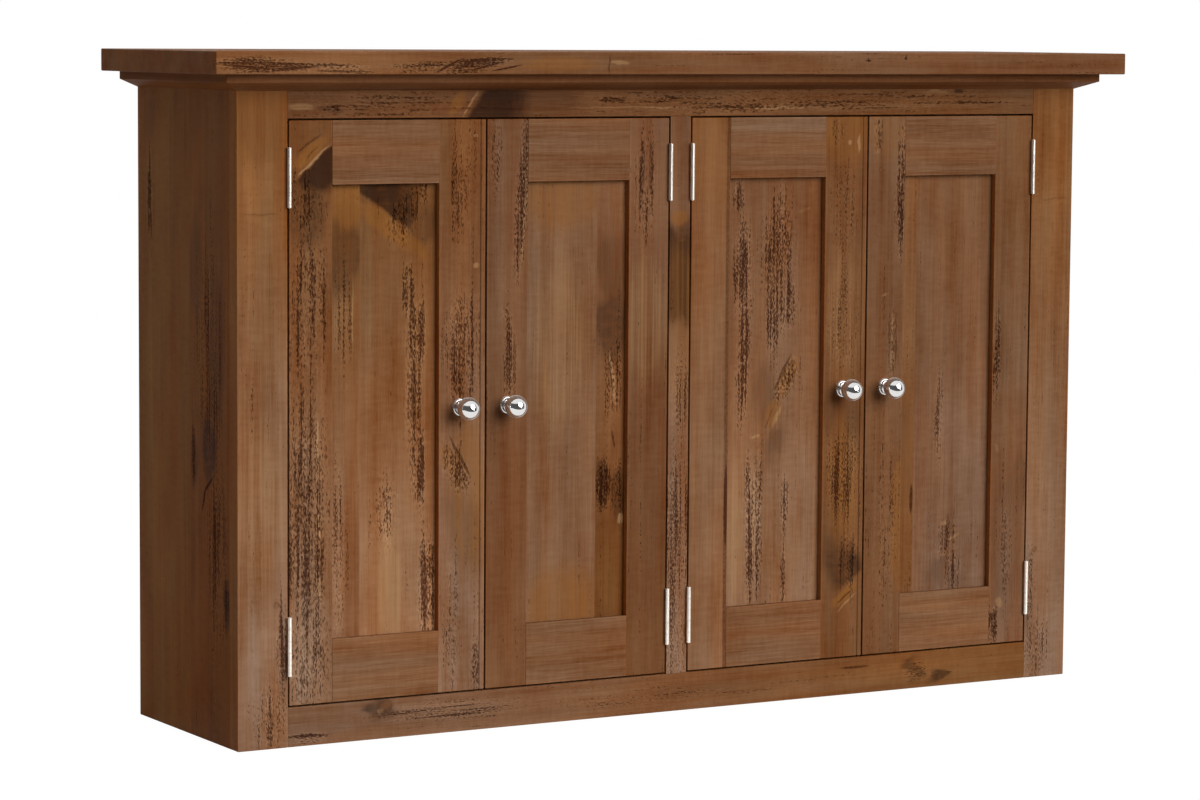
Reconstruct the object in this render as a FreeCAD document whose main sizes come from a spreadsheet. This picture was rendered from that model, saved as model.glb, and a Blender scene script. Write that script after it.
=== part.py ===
import FreeCAD, Part
import math
import operator
import os
import types
import Sketcher

# A four-door pine wall unit, in millimetres. X runs to the viewer's right, Y into the wall and Z up.
# The origin is the middle of the footprint of the whole unit, at the height of its underside.

# Cutters run this far past the wood, so that they leave no skin
OVERRUN = 1
BACK_BOARDS = 10
KNUCKLES = 5
PIN_ROWS = (-1, 0, 1)
SCREW_ROWS = (-1, 0, 1)

driving = {
    "overall_width": 1200,
    "overall_depth": 310,
    "overall_height": 760,
    "top_thick": 25,
    "top_overhang": 44,
    "top_round": 1.5,
    "cornice_height": 18,
    "cornice_reach": 22,
    "cornice_lip": 9,
    "face_thick": 22,
    "face_stile": 60,
    "face_mullion": 27,
    "face_top_rail": 48,
    "face_bottom_rail": 44,
    "tenon_long": 30,
    "tenon_thick": 8,
    "tenon_shoulder": 6,
    "mullion_tenon": 18,
    "mortise_room": 1,
    "side_thick": 20,
    "floor_thick": 20,
    "floor_raise": 8,
    "divider_thick": 20,
    "housing": 6,
    "back_thick": 12,
    "back_rebate": 10,
    "back_tongue_long": 5,
    "back_tongue_thick": 4,
    "back_groove_play": 0.2,
    "back_board_gap": 0.8,
    "back_vee": 2,
    "fixing_rail_high": 70,
    "fixing_rail_thick": 20,
    "wall_hole_width": 6,
    "wall_hole_spacing": 300,
    "wall_hole_drop": 35,
    "stop_thick": 18,
    "stop_drop": 10,
    "shelf_thick": 20,
    "shelf_under": 350,
    "shelf_setback": 20,
    "shelf_play": 1,
    "shelf_round": 3,
    "shelf_pin_width": 6,
    "shelf_pin_in": 8,
    "shelf_pin_out": 9,
    "shelf_pin_inset": 35,
    "shelf_pin_pitch": 60,
    "shelf_pin_play": 0.05,
    "door_thick": 21,
    "door_gap": 2,
    "door_stile": 52,
    "door_rail": 70,
    "door_bead": 6,
    "bead_quirk_wide": 1,
    "bead_quirk_deep": 1.5,
    "groove_deep": 10,
    "tenon_room": 0.5,
    "panel_thick": 8,
    "panel_recess": 8,
    "panel_room": 2,
    "panel_play": 0.3,
    "hinge_long": 65,
    "hinge_reach": 19,
    "hinge_from_top": 29,
    "hinge_from_bottom": 33,
    "hinge_fit": 0.15,
    "leaf_thick": 1.6,
    "leaf_air": 0.2,
    "knuckle_width": 5,
    "knuckle_clear": 0.3,
    "knuckle_play": 0.3,
    "hinge_pin_width": 2.6,
    "hinge_pin_fit": 0.04,
    "hinge_pin_proud": 0.4,
    "hinge_pin_bevel": 0.3,
    "screw_head_width": 5.6,
    "screw_shank_width": 2.8,
    "screw_long": 12,
    "screw_tip": 3,
    "screw_play": 0.1,
    "screw_pitch": 22,
    "screw_setback": 11,
    "knob_ball_width": 25.5,
    "knob_ball_out": 21.5,
    "knob_foot_width": 19.5,
    "knob_foot_high": 4.5,
    "knob_rim_round": 1.2,
    "knob_neck_width": 10,
    "knob_neck_cove": 2.5,
    "knob_bore_deep": 11,
    "knob_screw_width": 4,
    "knob_screw_play": 0.05,
    "knob_screw_short": 1,
    "knob_hole_play": 0.3,
    "knob_screw_head_width": 8,
    "knob_screw_head_high": 2.4,
    "knob_screw_crown": 1,
    "strike_long": 24,
    "strike_high": 12,
    "strike_thick": 1.5,
    "strike_inset": 8,
    "catch_long": 70,
    "catch_high": 13,
    "catch_deep": 14,
    "catch_air": 0.5,
    "catch_ear": 10,
    "catch_ear_high": 4,
    "catch_ear_inset": 1,
    "catch_hole_width": 3.5,
}

doc = FreeCAD.newDocument("wall_unit")
sheet = doc.addObject("Spreadsheet::Sheet", "sizes")
for row, (alias, value) in enumerate(driving.items(), 1):
    sheet.set(f"A{row}", alias)
    sheet.set(f"B{row}", str(value))
    sheet.setAlias(f"B{row}", alias)
doc.recompute()

SIGNS = {"+": operator.add, "-": operator.sub, "*": operator.mul, "/": operator.truediv}


class Size:
    """A length that carries both its number and the sheet formula that gives it."""

    def __init__(self, number, formula):
        self.number = number
        self.formula = formula

    def __add__(self, other):
        return combined(self, "+", other)

    def __radd__(self, other):
        return combined(other, "+", self)

    def __sub__(self, other):
        return combined(self, "-", other)

    def __rsub__(self, other):
        return combined(other, "-", self)

    def __mul__(self, other):
        return combined(self, "*", other)

    def __rmul__(self, other):
        return combined(other, "*", self)

    def __truediv__(self, other):
        return combined(self, "/", other)

    def __neg__(self):
        return combined(0, "-", self)


def as_size(value):
    return value if isinstance(value, Size) else Size(value, str(value))


def combined(left, sign, right):
    left = as_size(left)
    right = as_size(right)
    return Size(SIGNS[sign](left.number, right.number), f"({left.formula} {sign} {right.formula})")


def root(value):
    return Size(math.sqrt(value.number), f"sqrt({value.formula})")


size = types.SimpleNamespace(**{alias: Size(value, f"sizes.{alias}") for alias, value in driving.items()})

# Planes that several pieces share
half_width = size.overall_width / 2 - size.top_overhang
front = size.top_overhang - size.overall_depth / 2
back = size.overall_depth / 2
under_top = size.overall_height - size.top_thick
behind_face = front + size.face_thick
back_inside = back - size.back_thick
side_inside = half_width - size.side_thick
divider_face = size.divider_thick / 2
opening_side = half_width - size.face_stile
mullion_face = size.face_mullion / 2
opening_low = size.face_bottom_rail
opening_high = under_top - size.face_top_rail
floor_top = opening_low + size.floor_raise
floor_low = floor_top - size.floor_thick
stop_low = opening_high - size.stop_drop
tenon_front = front + (size.face_thick - size.tenon_thick) / 2
tenon_band = (tenon_front, tenon_front + size.tenon_thick)

# Turns that point a piece's own upward axis elsewhere
UPRIGHT = FreeCAD.Rotation()
TO_FRONT = FreeCAD.Rotation(FreeCAD.Vector(1, 0, 0), 90)
TO_BACK = FreeCAD.Rotation(FreeCAD.Vector(1, 0, 0), -90)
TO_RIGHT = FreeCAD.Rotation(FreeCAD.Vector(0, 1, 0), 90)
TO_LEFT = FreeCAD.Rotation(FreeCAD.Vector(0, 1, 0), -90)
OVER = FreeCAD.Rotation(FreeCAD.Vector(0, 1, 0), 180)

pieces = []


def keep(label, thing):
    """Names a finished sub-part and puts it on the list of files to write."""
    thing.Label = label
    pieces.append(thing)
    return thing


def bind(thing, **sizes):
    for name, value in sizes.items():
        thing.setExpression(name, as_size(value).formula)


def put(thing, x, y, z, turn=UPRIGHT):
    thing.Placement = FreeCAD.Placement(FreeCAD.Vector(0, 0, 0), turn)
    thing.setExpression("Placement.Base.x", as_size(x).formula)
    thing.setExpression("Placement.Base.y", as_size(y).formula)
    thing.setExpression("Placement.Base.z", as_size(z).formula)


def block(x, y, z):
    """A square-cut board between pairs of planes."""
    thing = doc.addObject("Part::Box", "Block")
    bind(thing, Length=x[1] - x[0], Width=y[1] - y[0], Height=z[1] - z[0])
    put(thing, x[0], y[0], z[0])
    return thing


def rod(radius, length, x, y, z, turn=UPRIGHT):
    thing = doc.addObject("Part::Cylinder", "Rod")
    bind(thing, Radius=radius, Height=length)
    put(thing, x, y, z, turn)
    return thing


def joined(things):
    thing = doc.addObject("Part::MultiFuse", "Joined")
    thing.Shapes = things
    thing.Refine = True
    return thing


def group(things):
    thing = doc.addObject("Part::Compound", "Group")
    thing.Links = things
    return thing


def cut(thing, tools):
    result = doc.addObject("Part::Cut", "Cut")
    result.Base = thing
    result.Tool = tools[0] if len(tools) == 1 else joined(tools)
    result.Refine = True
    return result


def copy_of(thing, x, y, z, turn=UPRIGHT):
    link = doc.addObject("App::Link", "Copy")
    link.LinkedObject = thing
    put(link, x, y, z, turn)
    return link


def span(edge, way, near, far):
    """The pair of planes near and far from an edge, going right for way 1 and left for way -1."""
    return (edge + near, edge + far) if way > 0 else (edge - far, edge - near)


def fix(sketch, geometry, end, kind, axis, value, name):
    """Ties one coordinate of a sketch point to a size, or to the axis where that is nought."""
    if value.number == 0:
        sketch.addConstraint(Sketcher.Constraint("PointOnObject", geometry, end, axis))
        return
    number = sketch.addConstraint(Sketcher.Constraint(kind, -1, 1, geometry, end, value.number))
    sketch.renameConstraint(number, name)
    sketch.setExpression(f"Constraints.{name}", value.formula)


def drawn(body, plane, corners, bends):
    """A closed sketch through corners. bends gives the radius and bulge side of the edges that are arcs."""
    sketch = body.newObject("Sketcher::SketchObject", "Outline")
    support = next(item for item in body.Origin.OriginFeatures if item.Role == plane)
    sketch.AttachmentSupport = [(support, "")]
    sketch.MapMode = "FlatFace"
    corners = [(as_size(across), as_size(along)) for across, along in corners]
    points = [FreeCAD.Vector(across.number, along.number, 0) for across, along in corners]
    ends = []
    for number, start in enumerate(points):
        stop = points[(number + 1) % len(points)]
        if number in bends:
            radius, side = bends[number]
            chord = stop - start
            middle = (start + stop) / 2
            rise = radius.number - math.sqrt(max(radius.number ** 2 - chord.Length ** 2 / 4, 0))
            crown = middle + FreeCAD.Vector(-chord.y, chord.x, 0).normalize() * rise * side
            first, last = (start, stop) if side < 0 else (stop, start)
            sketch.addGeometry(Part.Arc(first, crown, last))
            ends.append((1, 2) if side < 0 else (2, 1))
        else:
            sketch.addGeometry(Part.LineSegment(start, stop))
            ends.append((1, 2))
    for number, (across, along) in enumerate(corners):
        following = (number + 1) % len(corners)
        sketch.addConstraint(
            Sketcher.Constraint("Coincident", number, ends[number][1], following, ends[following][0])
        )
        fix(sketch, number, ends[number][0], "DistanceX", -2, across, f"across{number}")
        fix(sketch, number, ends[number][0], "DistanceY", -1, along, f"along{number}")
    for number, (radius, side) in bends.items():
        rule = sketch.addConstraint(Sketcher.Constraint("Radius", number, radius.number))
        sketch.renameConstraint(rule, f"radius{number}")
        sketch.setExpression(f"Constraints.radius{number}", radius.formula)
    return sketch


def turned(corners, bends):
    """A lathe-turned piece about its own upward axis, from a half profile of radius and height."""
    body = doc.addObject("PartDesign::Body", "Turned")
    sketch = drawn(body, "XZ_Plane", corners, bends)
    revolution = body.newObject("PartDesign::Revolution", "Revolution")
    revolution.Profile = sketch
    revolution.ReferenceAxis = (sketch, ["V_Axis"])
    revolution.Angle = 360
    return body


def milled(corners, length):
    """A board run through a cutter: a plan profile raised to a length."""
    body = doc.addObject("PartDesign::Body", "Milled")
    pad = body.newObject("PartDesign::Pad", "Pad")
    pad.Profile = drawn(body, "XY_Plane", corners, {})
    bind(pad, Length=length)
    return body


def eased(x, y, z, radius, wanted):
    """A board whose wanted edges, chosen by their two end points, are rounded over."""
    body = doc.addObject("PartDesign::Body", "Eased")
    board = body.newObject("PartDesign::AdditiveBox", "Board")
    bind(board, Length=x[1] - x[0], Width=y[1] - y[0], Height=z[1] - z[0])
    put(body, x[0], y[0], z[0])
    doc.recompute()
    edges = []
    for number, edge in enumerate(board.Shape.Edges, 1):
        if wanted([corner.Point for corner in edge.Vertexes]):
            edges.append(f"Edge{number}")
    fillet = body.newObject("PartDesign::Fillet", "Fillet")
    fillet.Base = (board, edges)
    bind(fillet, Radius=radius)
    return body


# Butt hinges. The axis stands in front of the face, so the knuckles show and nothing is cut away for them.
axis_y = front - size.knuckle_width / 2 - size.knuckle_clear
leaf_outside = size.leaf_air / 2 + size.leaf_thick
knuckle_step = size.hinge_long / KNUCKLES
door_low = opening_low + size.door_gap
door_high = opening_high - size.door_gap
door_middle = (door_low + door_high) / 2
hinge_heights = (
    door_low + size.hinge_from_bottom + size.hinge_long / 2,
    door_high - size.hinge_from_top - size.hinge_long / 2,
)


def knuckle_run(number, radius, slack):
    """A round of one knuckle's length about the hinge axis, longer than the knuckle by slack at each end."""
    low = knuckle_step * number - size.hinge_long / 2 - slack
    return rod(radius, knuckle_step + slack * 2, 0, 0, low)


def hinge_leaf(way, own, others):
    """One leaf about an upright axis at the origin, on the side of it that way points to."""
    plate = block(
        span(as_size(0), way, size.leaf_air / 2, leaf_outside),
        (as_size(0), size.hinge_reach),
        (-size.hinge_long / 2, size.hinge_long / 2),
    )
    barrel = [knuckle_run(number, size.knuckle_width / 2, -size.knuckle_play / 2) for number in own]
    clearance = size.knuckle_width / 2 + size.knuckle_clear
    notches = [knuckle_run(number, clearance, size.knuckle_play / 2) for number in others]
    bore_radius = size.hinge_pin_width / 2 + size.hinge_pin_fit
    bore = rod(bore_radius, size.hinge_long + OVERRUN * 2, 0, 0, -size.hinge_long / 2 - OVERRUN)
    sinks = []
    for number in SCREW_ROWS:
        sink = doc.addObject("Part::Cone", "Sink")
        bind(
            sink,
            Radius1=size.screw_head_width / 2 + size.screw_play,
            Radius2=size.screw_shank_width / 2 + size.screw_play,
            Height=size.leaf_thick,
        )
        put(
            sink,
            size.leaf_air / 2 * way,
            size.screw_setback,
            size.screw_pitch * number,
            TO_RIGHT if way > 0 else TO_LEFT,
        )
        sinks.append(sink)
    return cut(joined([plate] + barrel), notches + [bore] + sinks)


even = range(0, KNUCKLES, 2)
odd = range(1, KNUCKLES, 2)
frame_leaf = hinge_leaf(-1, even, odd)
door_leaf = hinge_leaf(1, odd, even)
pin_long = size.hinge_long + size.hinge_pin_proud * 2
pin_half = size.hinge_pin_width / 2
hinge_pin = turned(
    [
        (0, 0),
        (pin_half - size.hinge_pin_bevel, 0),
        (pin_half, size.hinge_pin_bevel),
        (pin_half, pin_long - size.hinge_pin_bevel),
        (pin_half - size.hinge_pin_bevel, pin_long),
        (0, pin_long),
    ],
    {},
)
wood_screw = turned(
    [
        (0, 0),
        (size.screw_head_width / 2, 0),
        (size.screw_shank_width / 2, size.leaf_thick),
        (size.screw_shank_width / 2, size.screw_long - size.screw_tip),
        (0, size.screw_long),
    ],
    {},
)


def hinge_cuts(axis_x, way):
    """The sinkings and pilot holes for one side of a door's two hinges, in the wood that way points to."""
    tools = []
    for height in hinge_heights:
        tools.append(
            block(
                span(axis_x, way, 0, leaf_outside),
                (front - OVERRUN, axis_y + size.hinge_reach + size.hinge_fit),
                (
                    height - size.hinge_long / 2 - size.hinge_fit,
                    height + size.hinge_long / 2 + size.hinge_fit,
                ),
            )
        )
        for number in SCREW_ROWS:
            tools.append(
                rod(
                    size.screw_shank_width / 2 + size.screw_play,
                    size.screw_long + size.screw_play,
                    axis_x + size.leaf_air / 2 * way,
                    axis_y + size.screw_setback,
                    height + size.screw_pitch * number,
                    TO_RIGHT if way > 0 else TO_LEFT,
                )
            )
    return tools


def hinge_screws(axis_x, way):
    """The six screws of one side of a door's two hinges."""
    return [
        copy_of(
            wood_screw,
            axis_x + size.leaf_air / 2 * way,
            axis_y + size.screw_setback,
            height + size.screw_pitch * number,
            TO_RIGHT if way > 0 else TO_LEFT,
        )
        for height in hinge_heights
        for number in SCREW_ROWS
    ]


def hinge_copies(thing, axis_x, way):
    """A leaf at both heights. A door that runs to the left of its hinge has it turned over."""
    return [copy_of(thing, axis_x, axis_y, height, UPRIGHT if way > 0 else OVER) for height in hinge_heights]


def pin_copies(axis_x):
    """The pins of a door's two hinges."""
    return [copy_of(hinge_pin, axis_x, axis_y, height - pin_long / 2) for height in hinge_heights]


# Doors, numbered from the left: the edge that carries the hinge, the way the door runs from it and its width.
# The left leaf of each pair has a bead down its closing edge, which hides the gap between the pair.
opening_width = opening_side - mullion_face
leaf_narrow = (opening_width - size.door_gap * 3 - size.door_bead) / 2
leaf_wide = leaf_narrow + size.door_bead
doors = (
    ("door_1", -opening_side, 1, leaf_wide),
    ("door_2", -mullion_face, -1, leaf_narrow),
    ("door_3", mullion_face, 1, leaf_wide),
    ("door_4", opening_side, -1, leaf_narrow),
)
axes = {name: jamb + size.door_gap / 2 * way for name, jamb, way, width in doors}

# Face frame: full-height stiles, rails tenoned between them and a mullion tenoned between the rails
bottom_tenon = (size.tenon_shoulder, opening_low - size.tenon_shoulder)
top_tenon = (opening_high + size.tenon_shoulder, under_top - size.tenon_shoulder)
mortise_deep = size.tenon_long + size.mortise_room
mullion_mortise = size.mullion_tenon + size.mortise_room
stile_sides = (("face_stile_left", -1, "door_1"), ("face_stile_right", 1, "door_4"))
for label, way, door in stile_sides:
    jamb = opening_side * way
    stile = block(span(jamb, way, 0, size.face_stile), (front, behind_face), (as_size(0), under_top))
    mortises = [
        block(span(jamb, way, -OVERRUN, mortise_deep), tenon_band, tenon)
        for tenon in (bottom_tenon, top_tenon)
    ]
    keep(label, cut(stile, mortises + hinge_cuts(axes[door], way)))

low_mortise = (opening_low - mullion_mortise, opening_low + OVERRUN)
high_mortise = (opening_high - OVERRUN, opening_high + mullion_mortise)
rails = (
    ("face_bottom_rail", (as_size(0), opening_low), bottom_tenon, low_mortise),
    ("face_top_rail", (opening_high, under_top), top_tenon, high_mortise),
)
for label, height, tenon, mortise in rails:
    rail = block((-opening_side, opening_side), (front, behind_face), height)
    tenons = block((-opening_side - size.tenon_long, opening_side + size.tenon_long), tenon_band, tenon)
    slot = block((-mullion_face, mullion_face), tenon_band, mortise)
    keep(label, cut(joined([rail, tenons]), [slot]))

mullion = block((-mullion_face, mullion_face), (front, behind_face), (opening_low, opening_high))
mullion_tenons = block(
    (-mullion_face, mullion_face),
    tenon_band,
    (opening_low - size.mullion_tenon, opening_high + size.mullion_tenon),
)
mullion_hinges = hinge_cuts(axes["door_2"], 1) + hinge_cuts(axes["door_3"], -1)
keep("face_mullion", cut(joined([mullion, mullion_tenons]), mullion_hinges))

# Carcass: sides rebated for the back, with the floor let into housings and holes for the shelf pins
pin_radius = size.shelf_pin_width / 2
pin_middle = size.shelf_under - pin_radius
pin_columns = (
    behind_face + size.shelf_setback + size.shelf_pin_inset,
    back_inside - size.shelf_pin_inset,
)


def pin_holes(face, way):
    """Two columns of blind holes in the face of an upright, going the way given."""
    return [
        rod(
            pin_radius + size.shelf_pin_play,
            size.shelf_pin_in + size.shelf_pin_play + OVERRUN,
            face - OVERRUN * way,
            column,
            pin_middle + size.shelf_pin_pitch * number,
            TO_RIGHT if way > 0 else TO_LEFT,
        )
        for column in pin_columns
        for number in PIN_ROWS
    ]


floor_run = (behind_face - OVERRUN, back_inside + OVERRUN)
for label, way in (("side_left", -1), ("side_right", 1)):
    face = side_inside * way
    side = block(span(face, way, 0, size.side_thick), (behind_face, back), (as_size(0), under_top))
    rebate = block(
        span(face, way, -OVERRUN, size.back_rebate),
        (back_inside, back + OVERRUN),
        (as_size(-OVERRUN), under_top + OVERRUN),
    )
    housing = block(span(face, way, -OVERRUN, size.housing), floor_run, (floor_low, floor_top))
    keep(label, cut(side, [rebate, housing] + pin_holes(face, way)))

floor_end = side_inside + size.housing
floor = block((-floor_end, floor_end), (behind_face, back_inside), (floor_low, floor_top))
floor_slot = block(
    (-divider_face, divider_face), floor_run, (floor_top - size.housing, floor_top + OVERRUN)
)
keep("bottom_board", cut(floor, [floor_slot]))

divider = block(
    (-divider_face, divider_face), (behind_face, back_inside), (floor_top - size.housing, under_top)
)
keep("centre_divider", cut(divider, pin_holes(divider_face, -1) + pin_holes(-divider_face, 1)))

# Back: tongued, grooved and vee-jointed boards in the rebates, behind the rails that take the wall screws
bay_middle = (side_inside + divider_face) / 2
back_span = (side_inside + size.back_rebate) * 2
back_pitch = back_span / BACK_BOARDS
tongue_front = (size.back_thick - size.back_tongue_thick) / 2
tongue_back = tongue_front + size.back_tongue_thick
board_wide = back_pitch - size.back_board_gap
back_boards = []
for number in range(BACK_BOARDS):
    groove_in = size.back_tongue_long - size.back_board_gap + size.back_groove_play
    right_edge = [
        (board_wide, tongue_front),
        (board_wide + size.back_tongue_long, tongue_front),
        (board_wide + size.back_tongue_long, tongue_back),
        (board_wide, tongue_back),
    ]
    left_edge = [
        (0, tongue_back + size.back_groove_play),
        (groove_in, tongue_back + size.back_groove_play),
        (groove_in, tongue_front - size.back_groove_play),
        (0, tongue_front - size.back_groove_play),
    ]
    corners = [(size.back_vee, 0), (board_wide - size.back_vee, 0), (board_wide, size.back_vee)]
    corners += right_edge if number < BACK_BOARDS - 1 else []
    corners += [(board_wide, size.back_thick), (0, size.back_thick)]
    corners += left_edge if number > 0 else []
    corners += [(0, size.back_vee)]
    board = milled(corners, under_top)
    put(board, back_pitch * number + size.back_board_gap / 2 - back_span / 2, back_inside, 0)
    back_boards.append(board)

wall_holes = [
    rod(
        size.wall_hole_width / 2,
        size.back_thick + size.fixing_rail_thick + OVERRUN * 2,
        bay_middle * bay + size.wall_hole_spacing / 2 * end,
        back_inside - size.fixing_rail_thick - OVERRUN,
        under_top - size.wall_hole_drop,
        TO_BACK,
    )
    for bay in (-1, 1)
    for end in (-1, 1)
]
keep("back_boards", cut(group(back_boards), wall_holes))
fixing_rails = [
    block(
        span(divider_face * way, way, 0, side_inside - divider_face),
        (back_inside - size.fixing_rail_thick, back_inside),
        (under_top - size.fixing_rail_high, under_top),
    )
    for way in (-1, 1)
]
keep("fixing_rails", cut(group(fixing_rails), wall_holes))

# Laths behind the top rail, which the doors close against
door_stops = [
    block(
        span(divider_face * way, way, 0, side_inside - divider_face),
        (behind_face, behind_face + size.stop_thick),
        (stop_low, under_top),
    )
    for way in (-1, 1)
]
keep("door_stops", group(door_stops))

# Shelves, loose on four pins each
shelf_front = behind_face + size.shelf_setback
for label, way in (("shelf_left", -1), ("shelf_right", 1)):
    shelf = eased(
        span(divider_face * way, way, size.shelf_play, side_inside - divider_face - size.shelf_play),
        (shelf_front, back_inside - size.shelf_play),
        (size.shelf_under, size.shelf_under + size.shelf_thick),
        size.shelf_round,
        lambda ends: all(abs(end.y) < 0.01 for end in ends) and abs(ends[0].x - ends[1].x) > 1,
    )
    keep(label, shelf)

pin_faces = ((-side_inside, 1), (-divider_face, -1), (divider_face, 1), (side_inside, -1))
shelf_pins = [
    rod(
        pin_radius,
        size.shelf_pin_in + size.shelf_pin_out,
        face - size.shelf_pin_in * way,
        column,
        pin_middle,
        TO_RIGHT if way > 0 else TO_LEFT,
    )
    for face, way in pin_faces
    for column in pin_columns
]
keep("shelf_pins", group(shelf_pins))

# Top board and the mitred cornice under its overhang
top = eased(
    (-size.overall_width / 2, size.overall_width / 2),
    (-back, back),
    (under_top, size.overall_height),
    size.top_round,
    lambda ends: not all(abs(end.y - driving["overall_depth"]) < 0.01 for end in ends),
)
keep("top_board", top)

cornice_low = under_top - size.cornice_height
lip_low = under_top - size.cornice_lip


def cornice(label, outer, inner, x, y, turn):
    """A moulding whose ends at its outer lip and at the carcass differ, which makes the mitres."""
    wedge = doc.addObject("Part::Wedge", "Cornice")
    bind(wedge, Xmin=outer[0], Xmax=outer[1], Zmin=lip_low, Zmax=under_top, Ymin=0)
    bind(wedge, X2min=inner[0], X2max=inner[1], Z2min=cornice_low, Z2max=under_top)
    bind(wedge, Ymax=size.cornice_reach)
    put(wedge, x, y, 0, turn)
    keep(label, wedge)


outer_end = half_width + size.cornice_reach
outer_front = front - size.cornice_reach
cornice("cornice_front", (-outer_end, outer_end), (-half_width, half_width), 0, outer_front, UPRIGHT)
quarter = FreeCAD.Rotation(FreeCAD.Vector(0, 0, 1), 90)
cornice("cornice_right", (outer_front, back), (front, back), outer_end, 0, quarter)
cornice("cornice_left", (-back, -outer_front), (-back, -front), -outer_end, 0, quarter.inverted())

# Hinge pieces that stay with the frame
frame_leaves = []
frame_pins = []
frame_screws = []
for name, jamb, way, width in doors:
    frame_leaves += hinge_copies(frame_leaf, axes[name], way)
    frame_pins += pin_copies(axes[name])
    frame_screws += hinge_screws(axes[name], -way)
keep("hinge_frame_leaves", group(frame_leaves))
keep("hinge_pins", group(frame_pins))
keep("hinge_frame_screws", group(frame_screws))

# Magnetic catches under the stops, one twin catch to a pair of doors
catch_front = front + size.door_thick + size.strike_thick + size.catch_air
catches = []
for edge in (-opening_side, mullion_face):
    meeting = edge + size.door_gap * 1.5 + leaf_wide
    half = size.catch_long / 2
    case = block(
        (meeting - half, meeting + half),
        (catch_front, catch_front + size.catch_deep),
        (stop_low - size.catch_high, stop_low),
    )
    ears = block(
        (meeting - half - size.catch_ear, meeting + half + size.catch_ear),
        (catch_front + size.catch_ear_inset, catch_front + size.catch_deep - size.catch_ear_inset),
        (stop_low - size.catch_ear_high, stop_low),
    )
    ear_holes = [
        rod(
            size.catch_hole_width / 2,
            size.catch_ear_high + OVERRUN * 2,
            meeting + (half + size.catch_ear / 2) * side,
            catch_front + size.catch_deep / 2,
            stop_low - size.catch_ear_high - OVERRUN,
        )
        for side in (-1, 1)
    ]
    catches.append(cut(joined([case, ears]), ear_holes))
keep("magnet_catches", group(catches))

# Doors: grooved stiles, rails with stub tenons in the grooves, a loose panel, and the ironmongery
ball_radius = size.knob_ball_width / 2
neck_radius = size.knob_neck_width / 2
foot_radius = size.knob_foot_width / 2
bore_radius = size.knob_screw_width / 2 + size.knob_screw_play
neck_top = size.knob_ball_out - root(ball_radius * ball_radius - neck_radius * neck_radius)
knob_corners = [
    (bore_radius, 0),
    (foot_radius, 0),
    (foot_radius, size.knob_foot_high - size.knob_rim_round),
    (foot_radius - size.knob_rim_round, size.knob_foot_high),
    (neck_radius + size.knob_neck_cove, size.knob_foot_high),
    (neck_radius, size.knob_foot_high + size.knob_neck_cove),
    (neck_radius, neck_top),
    (ball_radius, size.knob_ball_out),
    (0, size.knob_ball_out + ball_radius),
    (0, size.knob_bore_deep),
    (bore_radius, size.knob_bore_deep),
]
knob_bends = {
    2: (size.knob_rim_round, -1),
    4: (size.knob_neck_cove, 1),
    6: (ball_radius, -1),
    7: (ball_radius, -1),
}
screw_radius = size.knob_screw_width / 2
head_radius = size.knob_screw_head_width / 2
head_high = size.knob_screw_head_high
knob_screw_long = size.door_thick + size.knob_bore_deep - size.knob_screw_short
knob_screw = turned(
    [
        (0, 0),
        (head_radius - size.knob_screw_crown, 0),
        (head_radius, size.knob_screw_crown),
        (head_radius, head_high),
        (screw_radius, head_high),
        (screw_radius, head_high + knob_screw_long),
        (0, head_high + knob_screw_long),
    ],
    {},
)
groove_band = (front + size.panel_recess, front + size.panel_recess + size.panel_thick + size.panel_play)
door_band = (front, front + size.door_thick)
sight_low = door_low + size.door_rail
sight_high = door_high - size.door_rail
door_rails = (
    ("bottom_rail", (door_low, sight_low), (sight_low - size.groove_deep, sight_low + OVERRUN)),
    ("top_rail", (sight_high, door_high), (sight_high - OVERRUN, sight_high + size.groove_deep)),
)
full_height = (door_low, door_high)
groove_run = (door_low - OVERRUN, door_high + OVERRUN)

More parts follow.
